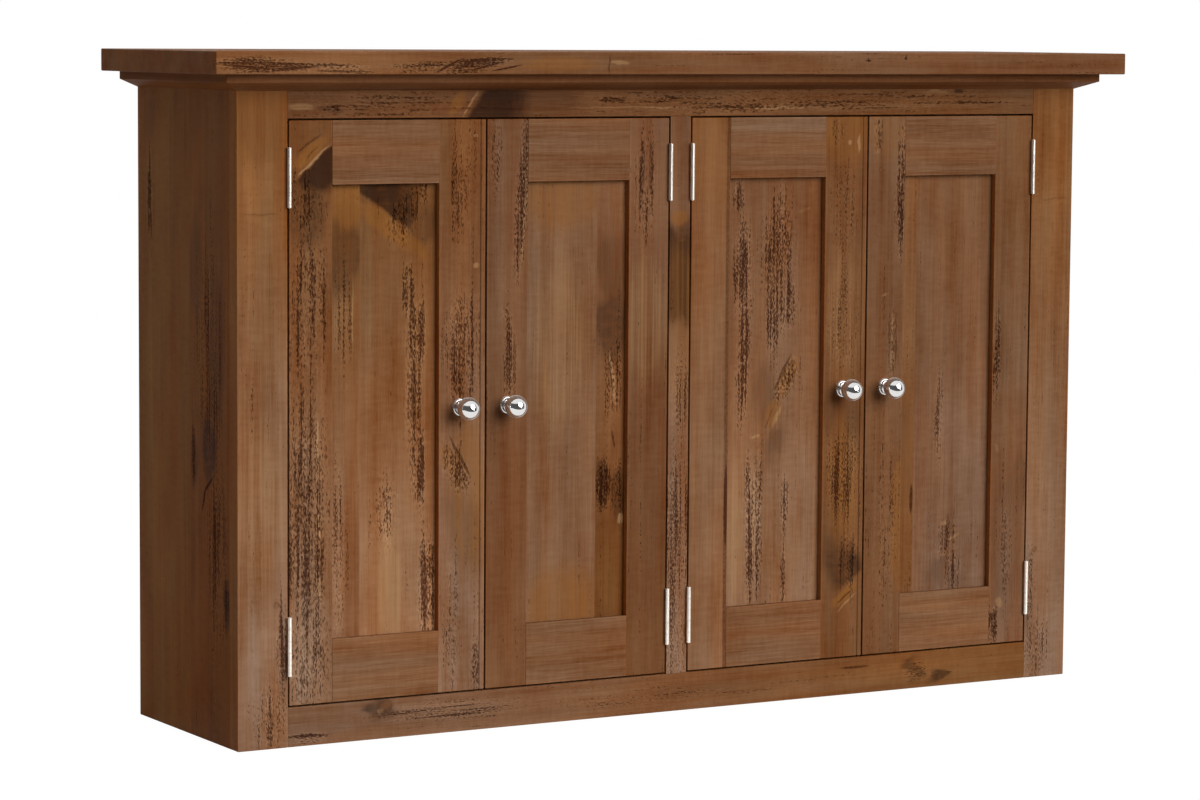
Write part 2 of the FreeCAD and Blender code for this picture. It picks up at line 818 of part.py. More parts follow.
for name, jamb, way, width in doors:
    edge = jamb + size.door_gap * way
    closing = width - leaf_narrow + size.door_stile
    inner = width - closing

    hinge_stile = block(span(edge, way, 0, size.door_stile), door_band, full_height)
    groove = block(
        span(edge, way, size.door_stile - size.groove_deep, size.door_stile + OVERRUN),
        groove_band,
        groove_run,
    )
    keep(f"{name}_hinge_stile", cut(hinge_stile, [groove] + hinge_cuts(axes[name], way)))

    knob_at = inner + size.door_stile / 2
    knob_x = edge + knob_at * way
    meeting_stile = block(span(edge, way, inner, width), door_band, full_height)
    tools = [
        block(span(edge, way, inner - OVERRUN, inner + size.groove_deep), groove_band, groove_run),
        rod(
            screw_radius + size.knob_hole_play,
            size.door_thick + OVERRUN * 2,
            knob_x,
            front - OVERRUN,
            door_middle,
            TO_BACK,
        ),
    ]
    if width is leaf_wide:
        quirk = inner + size.door_stile
        tools.append(
            block(
                span(edge, way, quirk - size.bead_quirk_wide / 2, quirk + size.bead_quirk_wide / 2),
                (front - OVERRUN, front + size.bead_quirk_deep),
                groove_run,
            )
        )
    keep(f"{name}_meeting_stile", cut(meeting_stile, tools))

    stub = size.groove_deep - size.tenon_room
    for label, height, slot in door_rails:
        rail = block(span(edge, way, size.door_stile, inner), door_band, height)
        tenons = block(span(edge, way, size.door_stile - stub, inner + stub), groove_band, height)
        trench = block(
            span(edge, way, size.door_stile - stub - OVERRUN, inner + stub + OVERRUN), groove_band, slot
        )
        keep(f"{name}_{label}", cut(joined([rail, tenons]), [trench]))

    lap = size.groove_deep - size.panel_room
    panel = block(
        span(edge, way, size.door_stile - lap, inner + lap),
        (groove_band[0], groove_band[0] + size.panel_thick),
        (sight_low - lap, sight_high + lap),
    )
    keep(f"{name}_panel", panel)

    knob = turned(knob_corners, knob_bends)
    put(knob, knob_x, front, door_middle, TO_FRONT)
    keep(f"{name}_knob", knob)

    keep(f"{name}_hinge_leaves", group(hinge_copies(door_leaf, axes[name], way)))
    through = copy_of(knob_screw, knob_x, door_band[1] + head_high, door_middle, TO_FRONT)
    keep(f"{name}_screws", group(hinge_screws(axes[name], way) + [through]))

    strike = block(
        span(edge, way, width - size.strike_inset - size.strike_long, width - size.strike_inset),
        (door_band[1], door_band[1] + size.strike_thick),
        (stop_low - size.strike_high, stop_low),
    )
    keep(f"{name}_strike_plate", strike)

doc.recompute()
for thing in doc.Objects:
    if "Invalid" in thing.State or "Error" in thing.State:
        raise RuntimeError(f"{thing.Label} did not build: {thing.State}")
os.makedirs("parts", exist_ok=True)
for thing in pieces:
    if thing.Shape.isNull() or not thing.Shape.isValid():
        raise RuntimeError(f"{thing.Label} has no sound shape")
    thing.Shape.exportStep(f"parts/{thing.Label}.step")
print(len(pieces), "sub-parts written")
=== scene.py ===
import math

import bpy
from mathutils import Matrix, Vector


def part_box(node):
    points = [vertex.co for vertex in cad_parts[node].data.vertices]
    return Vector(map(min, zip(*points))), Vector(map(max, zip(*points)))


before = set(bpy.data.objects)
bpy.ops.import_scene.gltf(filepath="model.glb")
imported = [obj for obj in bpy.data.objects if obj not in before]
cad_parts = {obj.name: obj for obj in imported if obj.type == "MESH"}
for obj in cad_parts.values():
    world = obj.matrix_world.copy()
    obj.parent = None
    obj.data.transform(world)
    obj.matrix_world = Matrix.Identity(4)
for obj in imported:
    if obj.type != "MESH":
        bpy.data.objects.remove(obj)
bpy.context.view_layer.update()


# The sides are wide pine boards glued up from two staves, rough sawn, stained brown and waxed.
# Stain soaks dark into torn grain and round knots, and the arrises are rubbed paler.
# They are housed to the bottom board and rebated for the back.
def linear(colour):
    """The linear colour of an sRGB hex value such as 7C553A."""
    shares = [int(colour[at:at + 2], 16) / 255 for at in (0, 2, 4)]
    return [c / 12.92 if c < 0.04045 else ((c + 0.055) / 1.055) ** 2.4 for c in shares] + [1]


def added(tree, kind, values={}, **settings):
    """Adds a node. Settings are its own fields; values are its inputs, plain or linked."""
    made = tree.nodes.new("ShaderNode" + kind)
    for field, value in settings.items():
        setattr(made, field, value)
    for place, value in values.items():
        if isinstance(value, bpy.types.NodeSocket):
            tree.links.new(value, made.inputs[place])
        else:
            made.inputs[place].default_value = value
    return made.outputs


def new_material(name):
    """A new material of that name, with its node tree and its shader."""
    material = bpy.data.materials.new(name)
    material.use_nodes = True
    return material, material.node_tree, material.node_tree.nodes["Principled BSDF"]


def dressed(node, material):
    """Gives a node of the frame that material and no other."""
    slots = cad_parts[node].data.materials
    slots.clear()
    slots.append(material)


def stained_pine(board, grain, *staves, lines=1.0, facing="Y"):
    """Dresses a board in its own piece of stained pine, with grain lines of that strength.

    A stave is (start, low tone, high tone, marks), and starts at that place across the board in mm.
    A mark is (kind, across, up, half width, half height, tilt in degrees, strength), in mm.
    """
    low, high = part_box(board)
    # The eye gets a warm brown that wanders between red and olive, long grain lines and fine cross lines
    # of the saw, dark clouds where stain soaked in, and columns of torn chips, under a low sheen of wax.
    material, tree, shader = new_material("stained_pine_" + board)
    here = added(tree, "TexCoord")["Object"]
    places = added(tree, "SeparateXYZ", {0: here})
    along = "XYZ".index(grain)
    across_face = {"Y": "X", "X": "Y"}[facing]
    across = "XYZ".index(across_face if grain == "Z" else "Z")
    # The board's name sets where in the grain it was cut from, so boards and their staves differ.
    stave_shift = 2.7
    seed = sum(ord(letter) * (at + 3) for at, letter in enumerate(board)) % 97 / 7

    # Staves: each has its own tones from its low end to its high end, and its own piece of the grain.
    inside = [1.0]
    for start, *_ in staves[1:]:
        past = {0: places[across], 1: start / 1000}
        inside.append(added(tree, "Math", past, operation="GREATER_THAN")[0])
    reach = {0: places[along], 1: low[along], 2: high[along]}
    reach = added(tree, "MapRange", reach, interpolation_type="SMOOTHSTEP")[0]
    tone = None
    stave_seed = seed
    for at, (_, low_tone, high_tone, _) in enumerate(staves):
        tones = {0: reach, 6: linear(low_tone), 7: linear(high_tone)}
        own = added(tree, "Mix", tones, data_type="RGBA")[2]
        if at:
            own = added(tree, "Mix", {0: inside[at], 6: tone, 7: own}, data_type="RGBA")[2]
            other = {0: inside[at], 1: stave_shift, 2: stave_seed}
            stave_seed = added(tree, "Math", other, operation="MULTIPLY_ADD")[0]
        tone = own
    shift = added(tree, "CombineXYZ", {0: stave_seed, 1: stave_seed, 2: stave_seed})[0]

    # Grain: each layer is a noise drawn out along the board, by the length and width of its marks in mm
    # and its detail. Real fibres are finer, and are drawn coarser here so that they show.
    grain_layers = {
        "streak": (420, 16, 2),
        "patch": (130, 50, 2),
        "hue": (260, 30, 2),
        "line": (240, 3.2, 2),
        "fibre": (30, 1.1, 2),
        "saw": (5, 16, 3),
        "column": (120, 3.2, 2),
        "chip": (3.8, 1.45, 2),
    }
    noise = {}
    for layer, (length, width, detail) in grain_layers.items():
        spread = [1000 / width] * 3
        spread[along] = 1000 / length
        stretched = added(tree, "Mapping", {"Vector": here, "Location": shift, "Scale": spread})[0]
        layer_noise = {"Vector": stretched, "Scale": 1, "Detail": detail}
        noise[layer] = added(tree, "TexNoise", layer_noise)[0]

    # Marks: blobs with flowing edges, or with edges pulled out along the grain where stain crept in
    # or the wood tore. A crack keeps nearly straight, and a stain is a cloud that stops at a straight line.
    # They lie in the show face and fade before they reach the back of the board.
    depth = "XYZ".index(facing)
    show_face = high[depth] if low[depth] > 0 else low[depth]
    deepest_mark = 0.02
    share_of_board = 0.95
    mark_depth = min(deepest_mark, share_of_board * (high[depth] - low[depth]))
    # An edge has the length and width of its waves, their draw along the grain and their sway, in mm.
    edges = {}
    mark_edges = {
        "flowing": (22, 22, 9, 9),
        "torn": (36, 5, 24, 8),
        "cloud": (50, 15, 60, 18),
        "crack": (70, 30, 12, 1.5),
    }
    for edge, (length, width, draw, sway) in mark_edges.items():
        spread = [1000 / width] * 3
        spread[along] = 1000 / length
        pull = [sway / 1000] * 3
        pull[along] = draw / 1000
        pull[depth] = 0
        warp = added(tree, "Mapping", {"Vector": here, "Location": shift, "Scale": spread})[0]
        warp = added(tree, "TexNoise", {"Vector": warp, "Scale": 1, "Detail": 3})["Color"]
        warp = added(tree, "VectorMath", {0: warp, 1: (0.5, 0.5, 0.5)}, operation="SUBTRACT")[0]
        edges[edge] = added(tree, "VectorMath", {0: warp, 1: pull, 2: here}, operation="MULTIPLY_ADD")[0]
    # How far in from its rim a mark comes to full strength, as a share of the way to its middle.
    full_at = {"knot": 1, "torn": 0.6}
    usual_full_at = 0.5
    spots = {}
    for at, (*_, marks) in enumerate(staves):
        within = inside[at]
        if at + 1 < len(staves):
            within = added(tree, "Math", {0: within, 1: inside[at + 1]}, operation="SUBTRACT")[0]
        for kind, middle, height, half_wide, half_high, tilt, strength in marks:
            place = [middle / 1000, middle / 1000, height / 1000]
            place[depth] = show_face
            half_sizes = [half_wide / 1000, half_wide / 1000, half_high / 1000]
            half_sizes[depth] = mark_depth
            turn = math.radians(tilt)
            turns = (0, -turn, 0) if facing == "Y" else (turn, 0, 0)
            spot = {"Location": place, "Rotation": turns, "Scale": half_sizes}
            spot["Vector"] = edges.get(kind, edges["flowing"])
            spot = added(tree, "Mapping", spot, vector_type="TEXTURE")[0]
            near = added(tree, "TexGradient", {0: spot}, gradient_type="SPHERICAL")[1]
            near = {0: near, 2: full_at.get(kind, usual_full_at), 4: strength}
            near = added(tree, "MapRange", near)[0]
            near = added(tree, "Math", {0: near, 1: within}, operation="MULTIPLY")[0]
            if kind == "stain":
                kind = "cloud"
                past = added(tree, "SeparateXYZ", {0: spot})[2]
                past = added(tree, "MapRange", {0: past, 1: -0.02, 2: 0.06})[0]
                near = added(tree, "Math", {0: near, 1: past}, operation="MULTIPLY")[0]
            most = {0: spots.get(kind, 0.0), 1: near}
            spots[kind] = added(tree, "Math", most, operation="MAXIMUM")[0]

    # Colour: the tone leans to red or olive, and where the stain took darker it is also more orange.
    # The grey that the sheen adds is taken off.
    red_lean = (1.05, 0.965, 0.85)
    olive_lean = (0.95, 1.03, 1.1)
    orange_in_dark = (0.6, 1.0, 1.4)
    sheen_grey = (-0.004, -0.004, -0.004)
    red = added(tree, "VectorMath", {0: tone, 1: red_lean}, operation="MULTIPLY")[0]
    olive = added(tree, "VectorMath", {0: tone, 1: olive_lean}, operation="MULTIPLY")[0]
    lean = added(tree, "MapRange", {0: noise["hue"], 1: 0.34, 2: 0.66})[0]
    colour = added(tree, "Mix", {0: lean, 6: red, 7: olive}, data_type="RGBA")[2]
    strengths = {"streak": 0.85, "patch": 0.95, "line": 0.5 * lines, "fibre": 0.55 * lines, "saw": 0.42}
    shade = -sum(strengths.values()) / 2
    for layer, strength in strengths.items():
        step = {0: noise[layer], 1: strength, 2: shade}
        shade = added(tree, "Math", step, operation="MULTIPLY_ADD")[0]
    shade = {0: shade, 1: orange_in_dark, 2: (1, 1, 1)}
    shade = added(tree, "VectorMath", shade, operation="MULTIPLY_ADD")[0]
    shade = {0: colour, 1: shade, 2: sheen_grey}
    colour = added(tree, "VectorMath", shade, operation="MULTIPLY_ADD")[0]
    if "cloud" in spots:
        # Dark stain soaked into soft wood, broken by the streaks and by the saw's cross lines.
        soaked_share = (0.25, 0.23, 0.24)
        soak = added(tree, "Math", {0: noise["streak"], 1: 0.9, 2: 0.05}, operation="MULTIPLY_ADD")[0]
        soak = added(tree, "Math", {0: noise["saw"], 1: 0.8, 2: soak}, operation="MULTIPLY_ADD")[0]
        soak = added(tree, "Math", {0: spots["cloud"], 1: soak}, operation="MULTIPLY")[0]
        soak = {0: soak, 1: 0.05, 2: 1.4}
        soak = added(tree, "MapRange", soak, interpolation_type="SMOOTHSTEP")[0]
        dark = added(tree, "VectorMath", {0: colour, 1: soaked_share}, operation="MULTIPLY")[0]
        colour = added(tree, "Mix", {0: soak, 6: colour, 7: dark}, data_type="RGBA")[2]
    # Warm marks are resinous wood that turned amber, and pale ones are bruised or scraped.
    wash_most = 0.6
    for kind, wash_tone in (("warm", "8C5926"), ("pale", "AC845A")):
        if kind in spots:
            wash = added(tree, "Math", {0: noise["line"], 1: spots[kind]}, operation="MULTIPLY")[0]
            wash = {0: wash, 1: 0.05, 2: 0.55, 4: wash_most}
            wash = added(tree, "MapRange", wash, interpolation_type="SMOOTHSTEP")[0]
            wash = {0: wash, 6: colour, 7: linear(wash_tone)}
            colour = added(tree, "Mix", wash, data_type="RGBA")[2]
    if "knot" in spots:
        # A small branch cut through: a red-brown spot with a dark skin, crossed by the fibres.
        rings = added(tree, "ValToRGB", {0: spots["knot"]})
        ramp = rings[0].node.color_ramp
        ramp.elements[0].color = linear("3A2416")[:3] + [0]
        ramp.elements[1].color = linear("5E3A20")[:3] + [1.5]
        skins = ((0.2, "4A2C1A", 0.9), (0.4, "6F4325", 0.8), (0.7, "7A4A28", 1.0))
        for at, ring_tone, cover in skins:
            ramp.elements.new(at).color = linear(ring_tone)[:3] + [cover]
        cover = added(tree, "Math", {0: rings[1], 1: noise["chip"]}, operation="MULTIPLY")[0]
        colour = added(tree, "Mix", {0: cover, 6: colour, 7: rings[0]}, data_type="RGBA")[2]
    torn = 0.0
    if "torn" in spots:
        # Torn grain: columns of small chips that stain turned dark brown.
        # A chip is out where the column, the chip and the mark together are strong.
        # Paler and darker flecks around the chips are painted highlight and painted shade of the torn
        # relief.
        relief_light_tint = (0.75, 1.0, 1.35)
        relief_light_and_shade = added(tree, "Math", {0: noise["chip"], 1: -1.9, 2: 1.1}, operation="MULTIPLY_ADD")[0]
        relief_light_and_shade = added(tree, "Math", {0: spots["torn"], 1: relief_light_and_shade}, operation="MULTIPLY")[0]
        relief_light_and_shade = {0: relief_light_and_shade, 1: relief_light_tint, 2: (1, 1, 1)}
        relief_light_and_shade = added(tree, "VectorMath", relief_light_and_shade, operation="MULTIPLY_ADD")[0]
        colour = added(tree, "VectorMath", {0: colour, 1: relief_light_and_shade}, operation="MULTIPLY")[0]
        torn = added(tree, "Math", {0: noise["column"], 1: 3.2, 2: -1.35}, operation="MULTIPLY_ADD")[0]
        torn = added(tree, "Math", {0: noise["chip"], 1: 2.6, 2: torn}, operation="MULTIPLY_ADD")[0]
        torn = added(tree, "Math", {0: spots["torn"], 1: 0.9, 2: torn}, operation="MULTIPLY_ADD")[0]
        torn = added(tree, "MapRange", {0: torn, 1: 2.3, 2: 3.0})[0]
    if "crack" in spots:
        # A crack is one dark line, a little broken by chips.
        split = added(tree, "Math", {0: noise["chip"], 1: 1.0, 2: 0.4}, operation="MULTIPLY_ADD")[0]
        split = added(tree, "Math", {0: spots["crack"], 1: split}, operation="MULTIPLY")[0]
        split = added(tree, "MapRange", {0: split, 1: 0.25, 2: 0.9})[0]
        torn = added(tree, "Math", {0: torn, 1: split}, operation="MAXIMUM")[0]
    if "torn" in spots or "crack" in spots:
        pit_share = (0.28, 0.205, 0.195)
        pit = added(tree, "VectorMath", {0: colour, 1: pit_share}, operation="MULTIPLY")[0]
        colour = added(tree, "Mix", {0: torn, 6: colour, 7: pit}, data_type="RGBA")[2]

    # End grain drinks more stain, which turns it more orange.
    end_share = (1.1, 0.88, 0.57)
    end_skin = 0.0005
    half_length = (high[along] - low[along]) / 2
    end = {0: places[along], 1: (low[along] + high[along]) / 2, 2: half_length - end_skin}
    end = added(tree, "Math", end, operation="COMPARE")[0]
    drunk = added(tree, "VectorMath", {0: colour, 1: end_share}, operation="MULTIPLY")[0]
    colour = added(tree, "Mix", {0: end, 6: drunk, 7: colour}, data_type="RGBA")[2]

    # Arrises along the grain: rubbed through to paler wood in places.
    rub_starts = 0.0022
    rub_full = 0.0004
    rub_gain = 1.3
    arris = None
    for axis in {0, 1, 2} - {along}:
        middle = (low[axis] + high[axis]) / 2
        off = added(tree, "Math", {0: places[axis], 1: middle}, operation="SUBTRACT")[0]
        off = added(tree, "Math", {0: off}, operation="ABSOLUTE")[0]
        off = added(tree, "Math", {0: (high[axis] - low[axis]) / 2, 1: off}, operation="SUBTRACT")[0]
        if arris is not None:
            off = added(tree, "Math", {0: arris, 1: off}, operation="MAXIMUM")[0]
        arris = off
    rub = {0: arris, 1: rub_starts, 2: rub_full}
    rub = added(tree, "MapRange", rub, interpolation_type="SMOOTHSTEP")[0]
    rub = added(tree, "Math", {0: rub, 1: noise["streak"]}, operation="MULTIPLY")[0]
    rubbed = added(tree, "VectorMath", {0: colour, "Scale": rub_gain}, operation="SCALE")[0]
    colour = added(tree, "Mix", {0: rub, 6: colour, 7: rubbed}, data_type="RGBA")[2]
    tree.links.new(colour, shader.inputs["Base Color"])

    # Wax gives a low soft sheen that torn grain lacks. Heights are in mm.
    matt = added(tree, "MapRange", {0: noise["fibre"], 1: 0.3, 2: 0.7, 3: 0.52, 4: 0.68})[0]
    matt = added(tree, "Math", {0: torn, 1: 0.25, 2: matt}, operation="MULTIPLY_ADD")[0]
    tree.links.new(matt, shader.inputs["Roughness"])
    shader.inputs["IOR"].default_value = 1.46
    shader.inputs["Specular IOR Level"].default_value = 0.05
    height = added(tree, "Math", {0: noise["fibre"], 1: 0.25}, operation="MULTIPLY")[0]
    height = added(tree, "Math", {0: noise["saw"], 1: 0.3, 2: height}, operation="MULTIPLY_ADD")[0]
    height = added(tree, "Math", {0: torn, 1: -1.8, 2: height}, operation="MULTIPLY_ADD")[0]
    bump = added(tree, "Bump", {"Strength": 0.8, "Distance": 0.001, "Height": height})[0]
    tree.links.new(bump, shader.inputs["Normal"])
    dressed(board, material)


def eased(board, width=0.8):
    """Joins a board's loose triangles and takes its sharp arrises off by that width in mm."""
    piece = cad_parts[board]
    weld = piece.modifiers.new("joined", "WELD")
    weld.merge_threshold = 0.00001
    arris = piece.modifiers.new("arris", "BEVEL")
    arris.width = width / 1000
    arris.segments = 2
    arris.limit_method = "ANGLE"
    arris.angle_limit = math.radians(40)
    arris.use_clamp_overlap = False
    arris.harden_normals = True


left_marks = [
    ("cloud", -30, 540, 60, 120, 0, 0.3),
    ("cloud", -5, 520, 28, 90, 0, 0.55),
    ("cloud", -55, 430, 30, 140, 0, 0.75),
    ("torn", -40, 440, 50, 170, 0, 0.85),
    ("warm", -12, 403, 10, 60, 0, 0.8),
    ("cloud", 3, 310, 14, 50, 0, 0.7),
    ("torn", 4, 312, 10, 50, 0, 1.2),
    ("cloud", -40, 322, 26, 56, 0, 1.2),
    ("crack", -36, 283, 22, 2.5, -40, 1.0),
    ("crack", -24, 268, 3, 20, 20, 0.9),
    ("cloud", -82, 160, 12, 40, 0, 1.0),
    ("torn", -82, 160, 10, 44, 0, 1.4),
    ("torn", -60, 200, 36, 150, 0, 0.95),
    ("torn", -72, 132, 10, 40, 0, 1.0),
]
rear_marks = [("torn", 121, 590, 9, 80, 0, 1.5), ("cloud", 121, 684, 24, 40, 0, 0.5)]
left_front_stave = (None, "804A23", "8A5227", left_marks)
left_rear_stave = (13, "8D572B", "8E5A2D", rear_marks)
stained_pine("side_left", "Z", left_front_stave, left_rear_stave, facing="X")
eased("side_left")

# The right side is out of sight in the photograph, so it is a plainer board
# with a few marks of the same kinds.
right_marks = [
    ("cloud", -40, 250, 30, 110, 0, 0.6),
    ("torn", -52, 260, 30, 150, 0, 0.9),
    ("crack", -36, 352, 20, 2, 32, 0.8),
    ("warm", -30, 372, 24, 12, 32, 0.9),
]
right_rear_marks = [("torn", 96, 520, 14, 110, 0, 1.0), ("cloud", 70, 160, 26, 80, 0, 0.5)]
right_front_stave = (None, "7A5032", "7D5435", right_marks)
right_rear_stave = (22, "825838", "7F5538", right_rear_marks)
stained_pine("side_right", "Z", right_front_stave, right_rear_stave, facing="X")
eased("side_right")


# The bottom board and the divider are plain pine of the same stain.
# They are housed into the sides and each other, and show only when the doors are open.
for board, grain, facing in (("bottom_board", "X", "Y"), ("centre_divider", "Z", "X")):
    stained_pine(board, grain, (None, "7A5336", "7C553A", ()), facing=facing)
    eased(board)


# The back is a row of narrow tongued and grooved boards with a small vee at each joint.
# Two fixing rails under the top take the wall screws, and two laths behind the top rail stop the doors.
for board, grain in (("back_boards", "Z"), ("fixing_rails", "X"), ("door_stops", "X")):
    stained_pine(board, grain, (None, "775034", "785136", ()))
eased("fixing_rails")
eased("door_stops")


# The face frame is pine stiles, rails and a mullion, tenoned together and flush on the front.
# Its left and right stiles are the plainest boards, torn only low down by the hinges.
stile_marks = [
    ("torn", 503, 110, 12, 70, 0, 0.9),
    ("cloud", 502, 105, 10, 80, 0, 0.5),
    ("torn", 514, 36, 26, 56, 0, 0.75),
    ("knot", 510, 158, 5, 4, 30, 0.6),
    ("crack", 527, 584, 34, 1.6, 0, 0.42),
]
left_stile_marks = [(kind, -middle, *rest) for kind, middle, *rest in stile_marks]
# The cloud at the top of the left stile is painted shadow from the cornice above it.
left_stile_marks += [("cloud", -528, 690, 60, 80, 0, 0.45), ("pale", -528, 270, 46, 130, 0, 0.45)]
# Each stile's outer edge is a strip with tones of its own, like the side that it covers.
strip_at = 555.4
# The left strip is lighter and more orange towards its top: painted light that lifts the cornice's shade.
left_strip = (None, "8B5730", "9C5E2E", ())
left_front = (-strip_at, "8D6B54", "84552F", left_stile_marks)
right_front = (None, "88654D", "82542F", stile_marks)
right_strip = (strip_at, "825838", "7F5538", ())
stained_pine("face_stile_left", "Z", left_strip, left_front)
stained_pine("face_stile_right", "Z", right_front, right_strip)
eased("face_stile_left")
eased("face_stile_right")

top_rail_marks = [
    ("pale", -479, 700, 22, 6, 0, 0.5),
    ("torn", -443, 698, 18, 6, 0, 0.9),
    ("cloud", -443, 698, 18, 6, 0, 0.7),
    ("warm", -288, 704, 22, 9, 57, 0.9),
    ("pale", -272, 702, 24, 2, 57, 0.9),
    ("stain", -268, 702, 100, 90, -123, 1.3),
    ("cloud", -180, 704, 70, 24, 0, 0.5),
    ("torn", -93, 706, 30, 6, 0, 1.3),
    ("torn", -18, 706, 26, 6, 0, 1.1),
    ("torn", 150, 702, 400, 22, 0, 0.6),
    ("torn", -380, 700, 130, 20, 0, 0.5),
    ("crack", -90, 705, 24, 1.6, 0, 0.8),
    ("pale", -74, 697, 105, 1.6, 0, 0.6),
    ("pale", 126, 696, 62, 1.8, 0, 0.6),
    ("pale", 354, 713, 30, 4, 0, 0.6),
    ("cloud", 391, 714, 8, 5, 0, 1.0),
]
stained_pine("face_top_rail", "X", (None, "6F482E", "714B2F", top_rail_marks), lines=1.6)
bottom_rail_marks = [
    ("knot", -377, 36, 10, 9, 0, 0.8),
    ("pale", -383, 30, 6, 5, 20, 0.5),
    ("cloud", -386, 34, 30, 22, 0, 0.95),
    ("torn", -471, 8, 30, 9, 0, 1.1),
    ("torn", -300, 25, 130, 16, 0, 0.7),
    ("torn", -40, 18, 150, 12, 0, 0.55),
    ("cloud", 20, 22, 90, 14, 0, 0.45),
    ("cloud", 333, 26, 16, 22, 0, 0.75),
    ("torn", 335, 20, 22, 16, 0, 0.7),
    ("cloud", 366, 13, 20, 12, 0, 1.0),
    ("crack", 248, 32, 28, 2, 0, 0.8),
]
stained_pine("face_bottom_rail", "X", (None, "7D5A43", "794D2A", bottom_rail_marks))
mullion_marks = [
    ("warm", 0, 570, 16, 12, 0, 0.9),
    ("cloud", 0, 505, 44, 80, 0, 1.75),
    ("warm", 0, 450, 40, 150, 0, 0.6),
    ("torn", 2, 368, 20, 70, 0, 0.8),
    ("torn", 0, 165, 30, 200, 0, 0.95),
]
stained_pine("face_mullion", "Z", (None, "886249", "77523A", mullion_marks))
for board in ("face_top_rail", "face_bottom_rail", "face_mullion"):
    eased(board)


# The top is a thick pine board that overhangs the front and both ends, flush at the back.
# Its front edge is split and torn at the left, as the photograph shows, and butted near the middle.
top_marks = [
    ("torn", -545, 744, 90, 12, -3, 1.2),
    ("torn", -450, 740, 60, 9, -3, 1.1),
    ("crack", -562, 743, 44, 1.8, -4, 1.0),
    ("crack", -508, 742, 36, 1.8, 3, 1.0),
    ("crack", -450, 738, 46, 1.3, -1, 0.8),
    ("torn", -360, 742, 50, 8, 4, 1.0),
    ("torn", -290, 745, 60, 12, 12, 1.2),
    ("crack", -322, 745, 26, 1.6, 24, 1.0),
    ("crack", -300, 746, 28, 1.6, 18, 1.0),
    ("crack", -276, 744, 30, 1.5, 14, 1.0),
    ("crack", -250, 742, 26, 1.3, 10, 0.9),
    ("warm", -185, 746, 66, 13, 0, 0.8),
    ("crack", -122, 747, 1.6, 16, 0, 0.6),
    ("pale", -106, 748, 18, 3, 0, 0.8),
    ("torn", 228, 751, 4, 3, 0, 1.1),
    ("torn", 279, 753, 4, 3, 0, 1.1),
]
stained_pine("top_board", "X", (None, "7F5638", "774E33", top_marks))


# The cornice is a small pine moulding with an upright lip and a bevel below.
# It is mitred at both corners and glued under the overhang of the top.
stained_pine("cornice_front", "X", (None, "86593B", "84583A", ()))
stained_pine("cornice_left", "Y", (None, "7D481D", "7D481D", ()))
stained_pine("cornice_right", "Y", (None, "804B21", "804B21", ()))
for board in ("cornice_front", "cornice_left", "cornice_right"):
    eased(board, width=0.5)


# Each bay has one loose shelf, a plain pine board of the same stain with square edges.
# It rests on four bright steel pins and shows only when the doors are open.
for board in ("shelf_left", "shelf_right"):
    stained_pine(board, "X", (None, "7A5336", "7C553A", ()))


